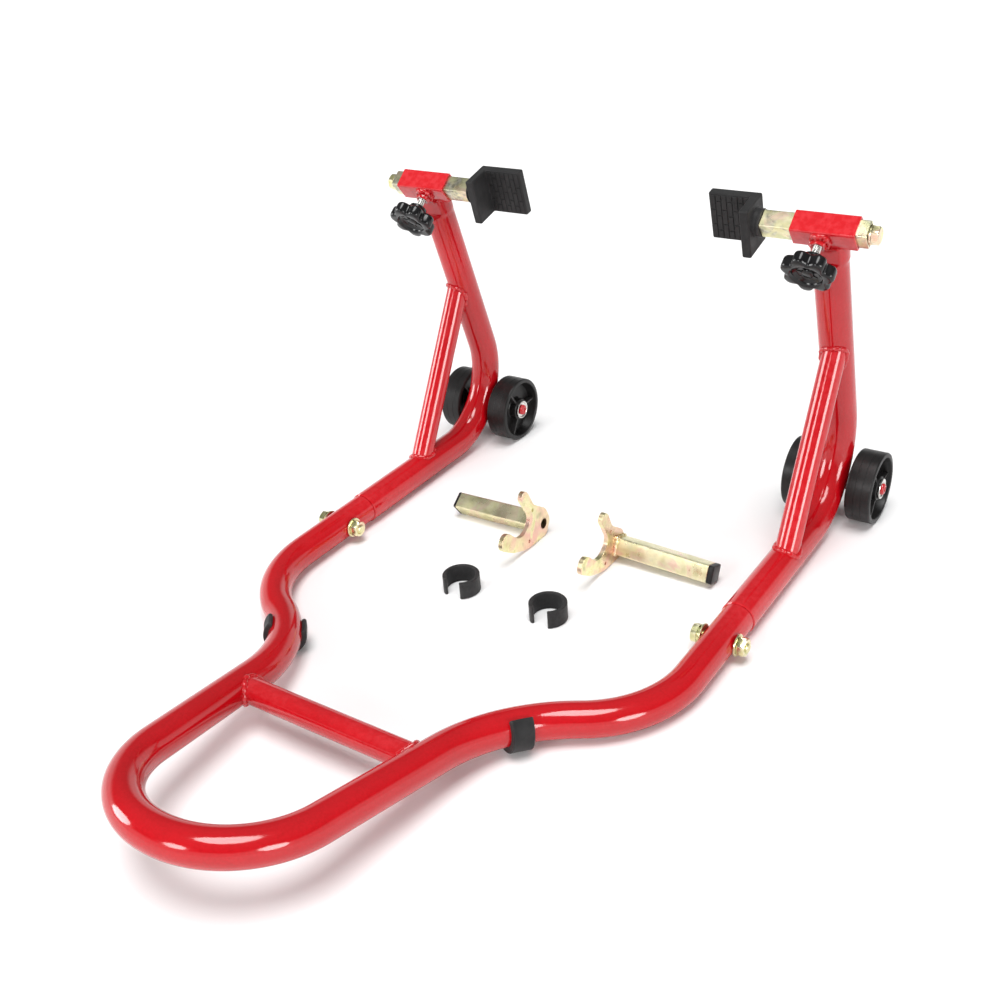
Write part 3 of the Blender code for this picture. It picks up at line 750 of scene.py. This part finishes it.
def build_joint(word, side):
    """The bolt through the leg where it meets the handle, with its washers and nut."""
    x = side * LEG_X
    at = Matrix.Translation((x, JOINT_Y, ARM_Z))

    def span(node):
        low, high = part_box(f"{node}_{word}")
        return low.x - x, high.x - x, (high.y - low.y) / 2

    for place in ("nut", "head"):
        start, end, outer = span(f"joint_washer_{place}")
        bm = bmesh.new()
        washer(bm, start, end, outer, BOLT_HOLE)
        name, node = f"plain_washer_{place}_{word}", f"joint_washer_{place}_{word}"
        piece(name, bm, "frame", ZINC, node, at=at)
    start, end, outer = span("joint_lock_washer")
    rings = []
    for k in range(49):
        share = k / 48
        angle = radians(98) + radians(344) * share
        spoke = Vector((0, cos(angle), sin(angle)))
        shift = Vector(((share - 0.5) * 0.5 * MM, 0, 0))
        section = [(start, BOLT_HOLE), (start, outer), (end, outer), (end, BOLT_HOLE)]
        rings.append([spoke * r + Vector((e, 0, 0)) + shift for e, r in section])
    bm = bmesh.new()
    loft(bm, rings)
    name, node = f"split_washer_{word}", f"joint_lock_washer_{word}"
    piece(name, bm, "frame", ZINC, node, at=at, bevel=0.3 * MM)

    start, end, _ = span("joint_nut")
    bm = bmesh.new()
    nut(bm, start, end, 17 * MM, BOLT_HOLE - 0.4 * MM)
    piece(f"hex_nut_{word}", bm, "frame", ZINC, f"joint_nut_{word}", at=at)
    low, high, _ = span("joint_bolt")
    seat = span("joint_lock_washer")[0] - GAP
    bm = bmesh.new()
    hex_head(bm, seat, low, 17 * MM)
    threaded(bm, start - 12 * MM, high - 0.6 * MM, BOLT_R, 1.5 * MM, 0.55 * MM)
    turned(bm, [(seat - 1 * MM, 4.8 * MM), (start - 11 * MM, 4.8 * MM)], 32, loop=False)
    point = [(high - 1.2 * MM, 4.4 * MM), (high - 0.5 * MM, 4.4 * MM), (high, 3.8 * MM)]
    turned(bm, point, 32, loop=False)
    piece(f"hex_bolt_{word}", bm, "frame", ZINC, f"joint_bolt_{word}", at=at)


# Sockets, cradles, pads and clamps


def build_socket(word):
    """The socket, and on its front the welded nut with the clamp's stud and knob."""
    at = Matrix.Translation(SOCKET_AT) @ Matrix.Rotation(SOCKET_PITCH, 4, "X")
    low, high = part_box(f"socket_{word}")
    across = size_across()
    bm = bmesh.new()
    square_tube(bm, low.x, high.x, across, 2 * MM, 2.4 * MM)
    piece(f"socket_tube_{word}", bm, "frame", RED, f"socket_{word}", at=at)

    clamp = Vector(JOINTS[f"knob_{word}_turn"]["pos_m"])
    outwards = Matrix.Translation(clamp) @ Matrix.Rotation(SOCKET_PITCH, 4, "X")
    outwards = outwards @ Matrix.Rotation(-pi / 2, 4, "Z")
    face = across / 2
    end = along(f"clamp_nut_{word}", clamp)[1]
    bm = bmesh.new()
    nut(bm, face + GAP, end, 14 * MM, STUD_HOLE)
    lumps = circle(8.2 * MM, 90, face + 1.2 * MM)
    for k, point in enumerate(lumps):
        point.x += 0.8 * MM * sin(10 * pi * k / 90)
    bead(bm, lumps, 2.7 * MM, wobble=0.75, ripple=5.2 * MM)
    piece(f"weld_nut_{word}", bm, "frame", RED, f"clamp_nut_{word}", at=outwards, sharp=50)

    start, end = along(f"clamp_stud_{word}", clamp)
    bm = bmesh.new()
    threaded(bm, start, end, STUD_R, 1.25 * MM, 0.5 * MM)
    piece(f"stud_{word}", bm, f"clamp_{word}", STEEL, f"clamp_stud_{word}", at=outwards)
    build_knob(word, clamp, outwards, end)


def along(node, point):
    """How far along the clamp's axis a node starts and ends, from a point on it."""
    vertices = frame["nodes"][node].data.vertices
    reaches = [(vertex.co - point).dot(CLAMP_AXIS) for vertex in vertices]
    return min(reaches), max(reaches)


def star(x, radius, depth, fine=18):
    """A ring of the knob, round when depth is 0. Its lobes are broad, with narrow notches between."""
    count = LOBES * fine
    points = []
    for k in range(count):
        angle = 2 * pi * k / count
        notch = ((1 - cos(LOBES * angle)) / 2) ** 1.7
        reach = radius - depth * notch
        points.append(Vector((x, reach * cos(angle), reach * sin(angle))))
    return points


def build_knob(word, clamp, at, stud_end):
    """The knob, from its bore round the outside into its hollow. Its stations are in mm."""
    start, end = along(f"clamp_knob_{word}", clamp)
    shoulder = start + 9.5 * MM
    floor = stud_end + 3 * MM
    bore = [(stud_end + GAP, STUD_HOLE, 0), (start, STUD_HOLE, 0), (start, 9.2 * MM, 0)]
    hub = [(0.5, 9.9), (3.4, 10.4), (3.8, 11.6), (4.8, 11.9), (5.4, 11.4)]
    back = [(-2.6, 13.8, 0), (-1.6, 12, 0.8), (-1, 6, 3), (-0.4, 2.8, 4.6), (0.4, 1.2, 5.4)]
    back += [(1.6, 0.4, 5.4), (3, 0.1, 5.4)]
    rim = [(3.6, 0, 5.4), (1.8, 0.5, 5.4), (0.7, 1.4, 5.4), (0, 2.8, 5), (0, 6, 2.8)]
    hollow = [(0, 17.2, 0.4), (0.3, 16.2, 0), (1.2, 15.2, 0), (3, 14.4, 0)]
    core = [(0.6, 11.2), (0, 10.2), (0, 6.2), (1.6, 5.6), (2, 5)]
    stations = bore + [(start + x * MM, r * MM, 0) for x, r in hub]
    stations += [(shoulder + x * MM, KNOB_R - inset * MM, d * MM) for x, inset, d in back]
    stations += [(end - x * MM, KNOB_R - inset * MM, d * MM) for x, inset, d in rim]
    stations += [(end - x * MM, r * MM, d * MM) for x, r, d in hollow]
    stations += [(floor + x * MM, r * MM, 0) for x, r in core]
    bm = bmesh.new()
    loft(bm, [star(*station) for station in stations])
    fin = [
        (floor - 1 * MM, 5.6 * MM), (floor - 1 * MM, 13 * MM), (end - 3.4 * MM, 15.4 * MM),
        (end - 4.6 * MM, 13.2 * MM), (floor + 0.8 * MM, 5.6 * MM),
    ]
    faces = [[Vector((x, r, z)) for x, r in fin] for z in (-0.45 * MM, 0.45 * MM)]
    finned(bm, faces, [2 * pi * k / LOBES + 0.2 for k in range(LOBES)])
    name, node = f"star_knob_{word}", f"clamp_knob_{word}"
    piece(name, bm, f"knob_{word}", GLOSS, node, at=at, sharp=40)


def build_cradle(word, side):
    """The slide in the socket, with the bolt and washer that hold the pad on its end."""
    at = Matrix.Translation(SOCKET_AT) @ Matrix.Rotation(SOCKET_PITCH, 4, "X")
    low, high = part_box(f"cradle_slide_{word}")
    bm = bmesh.new()
    square_tube(bm, low.x, high.x, *BAR)
    body = f"cradle_{word}"
    piece(f"slide_bar_{word}", bm, body, SCUFFED_ZINC, f"cradle_slide_{word}", at=at)

    centre = Matrix.Translation(SOCKET_AT)
    low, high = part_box(f"pivot_washer_{word}")
    bm = bmesh.new()
    washer(bm, low.x, high.x, (high.y - low.y) / 2, BOLT_R + 0.2 * MM)
    piece(f"end_washer_{word}", bm, body, ZINC, f"pivot_washer_{word}", at=centre)
    low_bolt, high_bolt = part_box(f"pivot_bolt_{word}")
    seat = (high.x if side > 0 else low.x) + side * GAP
    end, tip = (high_bolt.x, low_bolt.x) if side > 0 else (low_bolt.x, high_bolt.x)
    bm = bmesh.new()
    hex_head(bm, seat, end, 16 * MM)
    shank = [(seat + side * 1 * MM, BOLT_R), (tip + side * 0.8 * MM, BOLT_R), (tip, 4.2 * MM)]
    turned(bm, shank, 32, loop=False)
    piece(f"long_bolt_{word}", bm, body, ZINC, f"pivot_bolt_{word}", at=centre)


def build_pad(word, side):
    """A rubber L with a moulded grid on its wide slab and a round collar behind its side slab."""
    at = Matrix.Translation(SOCKET_AT) @ Matrix.Rotation(PAD_PITCH, 4, "X")
    spin = Matrix.Rotation(-PAD_PITCH, 3, "X")
    vertices = frame["nodes"][f"pad_{word}"].data.vertices
    points = [spin @ (vertex.co - SOCKET_AT) for vertex in vertices]
    front, back = min(p.y for p in points), max(p.y for p in points)
    low, high = min(p.z for p in points), max(p.z for p in points)
    inner = min(abs(p.x) for p in points)
    collar_end = max(abs(p.x) for p in points)
    outer, side_wall, back_wall, groove = collar_end - 7 * MM, 9.5 * MM, 10.5 * MM, 0.7 * MM
    face = back - back_wall
    wall = outer - side_wall
    corners = [(outer, back), (inner, back), (inner, face + groove), (wall, face + groove)]
    corners += [(wall, front), (outer, front)]
    body = f"pad_{word}"
    bm = bmesh.new()
    loft(bm, [[Vector((side * x, y, z)) for x, y in corners] for z in (low, high)])
    made = piece(f"pad_block_{word}", bm, body, RUBBER, body, at=at, bevel=1.8 * MM, sharp=50)
    made.modifiers[0].segments = 4

    bm = bmesh.new()
    columns, rows, joint = 7, 3, 0.35 * MM
    margin = 1.6 * MM
    wide = (wall - inner - 1.5 * margin) / columns
    tall = (high - low - 2 * margin) / rows
    for column in range(columns):
        left = inner + margin + column * wide
        cuts = [low + margin + tall * row for row in range(rows + 1)]
        if column % 2:
            cuts = [cuts[0], *[cut - tall * 0.42 for cut in cuts[1:]], cuts[-1]]
        for bottom, top in zip(cuts, cuts[1:]):
            near, far = sorted((side * (left + joint), side * (left + wide - joint)))
            corner = (near, face, bottom + joint)
            block(bm, corner, (far, face + 2 * MM, top - joint), taper=0.35 * MM)
    piece(f"pad_grid_{word}", bm, body, RUBBER, at=at, bevel=0.25 * MM, slot=body)

    bm = bmesh.new()
    ring = 14 * MM
    profile = [
        (outer - 2 * MM, BOLT_HOLE), (outer - 2 * MM, ring), (outer + 0.5 * MM, ring),
        (outer + 1.2 * MM, ring - 0.5 * MM), (collar_end - 2.4 * MM, ring - 0.8 * MM),
        (collar_end - 2 * MM, ring - 0.1 * MM), (collar_end - 0.8 * MM, ring),
        (collar_end, ring - 0.8 * MM), (collar_end, BOLT_HOLE),
    ]
    turned(bm, [(side * x, r) for x, r in profile], 64)
    piece(f"pad_collar_{word}", bm, body, RUBBER, at=at, slot=body)


# Feet


def lip_share(angle, start, end, lip, least):
    """How much of its thickness a clip keeps at an angle, which is less within `lip` of its ends."""
    from_end = min(angle - start, end - angle)
    if from_end > lip:
        return 1.0
    return least + (1 - least) * (1 - (1 - from_end / lip) ** 2) ** 0.5


def clip(bm, inner, outer, width, steps=72):
    """A C-shaped clip around the X axis that opens towards +Z, with rounded lips."""
    start, end = pi / 2 + SPARE_MOUTH / 2, 5 * pi / 2 - SPARE_MOUTH / 2
    edge, half = 0.7 * MM, width / 2
    section = [
        (inner, -half + edge), (inner + edge, -half), (outer - edge, -half), (outer, -half + edge),
        (outer, half - edge), (outer - edge, half), (inner + edge, half), (inner, half - edge),
    ]
    centre = (inner + outer) / 2
    rings = []
    for k in range(steps + 1):
        angle = start + (end - start) * k / steps
        share = lip_share(angle, start, end, 0.05, 0.55)
        spoke = Vector((0, cos(angle), sin(angle)))
        rings.append([spoke * (centre + (r - centre) * share) + Vector((x, 0, 0)) for r, x in section])
    loft(bm, rings)


def swept_clip(bm, line, inner, outer, steps=64):
    """A C-shaped clip along the centre line, whose mouth turns inwards from the top."""
    start, end = FOOT_MOUTH / 2 - MOUTH_TURN, 2 * pi - FOOT_MOUTH / 2 - MOUTH_TURN
    edge = 0.9 * MM
    centre = (inner + outer) / 2
    rings = []
    for k in range(steps + 1):
        angle = start + (end - start) * k / steps
        share = lip_share(angle, start, end, 0.07, 0.6)
        reach = centre + (outer - centre) * share
        under = centre + (inner - centre) * share
        outside, inside = [], []
        for j, (at, up, out) in enumerate(line):
            spoke = cos(angle) * up + sin(angle) * out
            cut = edge if j in (0, len(line) - 1) else 0.0
            outside.append(at + spoke * (reach - cut))
            inside.append(at + spoke * under)
        rings.append(inside + outside[::-1])
    loft(bm, rings)


def fine_line(path, step=0.8 * MM):
    """The path with more points, none further apart than the step."""
    found = []
    for a, b in zip(path, path[1:]):
        count = max(1, ceil((b - a).length / step))
        found += [a.lerp(b, k / count) for k in range(count)]
    return found + [path[-1]]


def build_feet():
    """The clips on the handle's bends, and the two spare ones that lie on the floor."""
    path = fine_line([point for point in handle_path() if point.x > 0])
    upright = Matrix.Rotation(pi / 2, 4, "Y") @ Matrix.Rotation(pi / 2, 4, "X")
    for word, side in SIDES.items():
        centre = min(path, key=lambda point: abs(point.y - FOOT_AT[word]))
        line = frames([point for point in path if (point - centre).length < FOOT_LENGTH / 2])
        outer = min(at.z / up.z for at, up, _ in line) - 0.1 * MM
        bm = bmesh.new()
        swept_clip(bm, line, HANDLE_R + 0.1 * MM, outer)
        bm.transform(Matrix.Scale(side, 4, (1, 0, 0)))
        piece(f"foot_clip_{word}", bm, "frame", RUBBER, f"handle_foot_{word}")

        node = f"spare_foot_{word}"
        low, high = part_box(node)
        width, outer = high.z - low.z, (high.x - low.x) / 2
        at = Matrix.Translation(((low.x + high.x) / 2, high.y - outer, width / 2))
        bm = bmesh.new()
        clip(bm, outer - FOOT_THICK, outer, width)
        piece(f"spare_clip_{word}", bm, node, RUBBER, node, at=at @ upright)


# Loose adapters


def fork_outline():
    """The hooked plate's outline in its own plane, in metres, from (u, v) corners and radii in mm."""
    corners = [
        (-13.2, -11.6, 9), (22, -31, 55), (50, -36.2, 50), (77.2, -35.2, 8.5), (76.8, -16.2, 8.5),
        (64, -16, 8), (31.5, -24, 18), (29.4, 5.2, 11), (58.8, 21.8, 6), (57.2, 33.4, 6),
        (46.5, 30.8, 10), (29.5, 19.4, 15), (2, 17.6, 16), (-12.6, 7.2, 10),
    ]
    points = [Vector((u * MM, v * MM, 0)) for u, v, _ in corners]
    radii = [radius * MM for _, _, radius in corners]
    return rounded(points, radii, step=radians(6), closed=True)


def cut_holes(plate, holes, reach):
    """Cuts round holes through a plate. A hole is a place, with the hole along its X, and a radius."""
    for place, radius in holes:
        bm = bmesh.new()
        turned(bm, [(-reach, radius), (reach, radius)], 40, loop=False)
        bm.transform(place)
        bmesh.ops.recalc_face_normals(bm, faces=bm.faces)
        mesh = bpy.data.meshes.new("hole")
        bm.to_mesh(mesh)
        bm.free()
        tool = bpy.data.objects.new("hole", mesh)
        bpy.context.scene.collection.objects.link(tool)
        modifier = plate.modifiers.new("hole", "BOOLEAN")
        modifier.operation = "DIFFERENCE"
        modifier.solver = "EXACT"
        modifier.object = tool
        bpy.context.view_layer.update()
        whole = plate.evaluated_get(bpy.context.evaluated_depsgraph_get())
        plate.modifiers.clear()
        plate.data = bpy.data.meshes.new_from_object(whole)
        bpy.data.objects.remove(tool)
        bpy.data.meshes.remove(mesh)


def build_fork(word, side):
    """A loose adapter: a hooked plate welded to a square tube with a plastic plug in its far end."""
    low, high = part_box(f"fork_tube_{word}")
    tilt = Matrix.Rotation(side * FORK_TILTS[side], 4, "Y")
    place = Matrix.Translation((low + high) / 2) @ tilt
    at = place @ Matrix.Rotation(FORK_ROLLS[side], 4, "X")
    near, far = -side * FORK_LENGTH / 2, side * FORK_LENGTH / 2
    back = near - side * GAP
    front = back - side * FORK_THICK
    along_u = Vector((0, -cos(FORK_LEAN), sin(FORK_LEAN)))
    along_v = Vector((0, sin(FORK_LEAN), cos(FORK_LEAN)))
    body = f"fork_{word}"
    bm = bmesh.new()
    flat = [along_u * point.x + along_v * point.y for point in fork_outline()]
    loft(bm, [[Vector((x, 0, 0)) + point for point in flat] for x in (front, back)])
    plate = piece(f"hook_plate_{word}", bm, body, PINK_ZINC, f"fork_plate_{word}", at=place, sharp=40)
    holes = []
    for u, v, radius in FORK_HOLES:
        centre = Vector(((front + back) / 2, 0, 0)) + along_u * u + along_v * v
        holes.append((place @ Matrix.Translation(centre), radius))
    cut_holes(plate, holes, FORK_THICK)
    soften(plate, 0.9 * MM, 50)

    bm = bmesh.new()
    square_tube(bm, near, far, *BAR)
    weld = rounded_square(19.8 * MM, 2 * MM, near + side * 0.6 * MM)
    bead(bm, resampled(weld, 110), 2.1 * MM, wobble=0.5)
    piece(f"hook_tube_{word}", bm, body, ZINC, f"fork_tube_{word}", at=at)

    start = far + side * GAP
    end = start + side * FORK_CAPS[side]
    unit = side * MM
    cover = [(start, 19.2, 1.6), (start + 0.3 * unit, 19.4, 1.7), (end - unit, 19.4, 1.7)]
    cover += [(end - 0.3 * unit, 18.6, 1.7), (end, 16.8, 1.5)]
    shank = [(far - 12 * unit, 14.6, 1), (far - 11 * unit, 15.2, 1), (start + unit, 15.2, 1)]
    bm = bmesh.new()
    for stations in (cover, shank):
        loft(bm, [rounded_square(width * MM, radius * MM, x) for x, width, radius in stations])
    piece(f"end_plug_{word}", bm, body, WHEEL, f"fork_cap_{word}", at=at)


# Studio: the room's brightness by height, and the lights' directions, strengths and widths

FLOOR_REACH = 9.0
ROOM = ((0.22, 0.95), (0.36, 0.15), (0.80, 0.30))
LIGHTS = (
    ("top", (0.10, -0.15, 0.97), 2.5, 34),
    ("left", (-0.88, -0.40, 0.30), 1.3, 24),
    ("right", (0.90, -0.36, 0.26), 1.2, 22),
    ("front", (-0.15, -0.88, 0.42), 0.8, 18),
)
CAMERA_TURN = (radians(-36.018), radians(29.595), radians(-4.644))  # yaw, pitch and roll
CAMERA_AT = Vector((0.6068, AXLE_Y - 1.1520, 0.7018))
LENS_MM = 42.907
SENSOR_MM = 36


def soft_light(name, way, strength, width):
    """A distant round softbox in the direction `way`, `width` degrees across."""
    light = bpy.data.lights.new(name, "SUN")
    light.energy, light.angle = strength, radians(width)
    made = bpy.data.objects.new(name, light)
    made.rotation_euler = Vector(way).to_track_quat("Z", "Y").to_euler()
    bpy.context.scene.collection.objects.link(made)


def build_studio():
    """A pale floor just under the feet, a dim room with a bright horizon, and four softboxes."""
    bm = bmesh.new()
    block(bm, (-FLOOR_REACH, -FLOOR_REACH, -20 * MM), (FLOOR_REACH, FLOOR_REACH, -0.2 * MM))
    mesh = bpy.data.meshes.new("floor")
    bm.to_mesh(mesh)
    bm.free()
    mesh.materials.append(floor_paper())
    floor = bpy.data.objects.new("floor", mesh)
    bpy.context.scene.collection.objects.link(floor)

    world = bpy.data.worlds.new("studio")
    bpy.context.scene.world = world
    world.use_nodes = True
    nodes, links = world.node_tree.nodes, world.node_tree.links
    height = nodes.new("ShaderNodeSeparateXYZ")
    links.new(nodes.new("ShaderNodeTexCoord").outputs["Generated"], height.inputs["Vector"])
    shade = nodes.new("ShaderNodeValToRGB")
    points = shade.color_ramp.elements
    points.new(ROOM[0][0])
    for point, (place, level) in zip(points, ROOM):
        point.position, point.color = place, (level, level, level, 1.0)
    links.new(height.outputs["Z"], shade.inputs["Fac"])
    background = nodes["Background"]
    links.new(shade.outputs["Color"], background.inputs["Color"])
    background.inputs["Strength"].default_value = 1.0
    for light in LIGHTS:
        soft_light(*light)
    bpy.context.scene.view_settings.view_transform = "Standard"


def build_camera():
    """Looks down at the stand from the front right."""
    yaw, pitch, roll = CAMERA_TURN
    ahead = Vector((sin(yaw) * cos(pitch), cos(yaw) * cos(pitch), -sin(pitch)))
    right = Vector((cos(yaw), -sin(yaw), 0))
    up = right.cross(ahead)
    right, up = cos(roll) * right + sin(roll) * up, cos(roll) * up - sin(roll) * right
    camera = bpy.data.cameras.new("camera")
    camera.sensor_width = SENSOR_MM
    camera.lens = LENS_MM
    camera.clip_end = 50
    made = bpy.data.objects.new("camera", camera)
    place = Matrix((right, up, -ahead)).transposed().to_4x4()
    place.translation = CAMERA_AT
    made.matrix_world = place
    bpy.context.scene.collection.objects.link(made)
    bpy.context.scene.camera = made


def main():
    build_handle()
    build_feet()
    for word, side in SIDES.items():
        build_leg(word, side)
        build_axle(word, side)
        for place in ("inner", "outer"):
            build_wheel(word, place)
        build_joint(word, side)
        build_socket(word)
        build_cradle(word, side)
        build_pad(word, side)
        build_fork(word, side)
        hidden = frame["nodes"][f"leg_spigot_{word}"]
        hidden.data.materials.clear()
        hidden.data.materials.append(RED)
    build_studio()
    build_camera()


main()
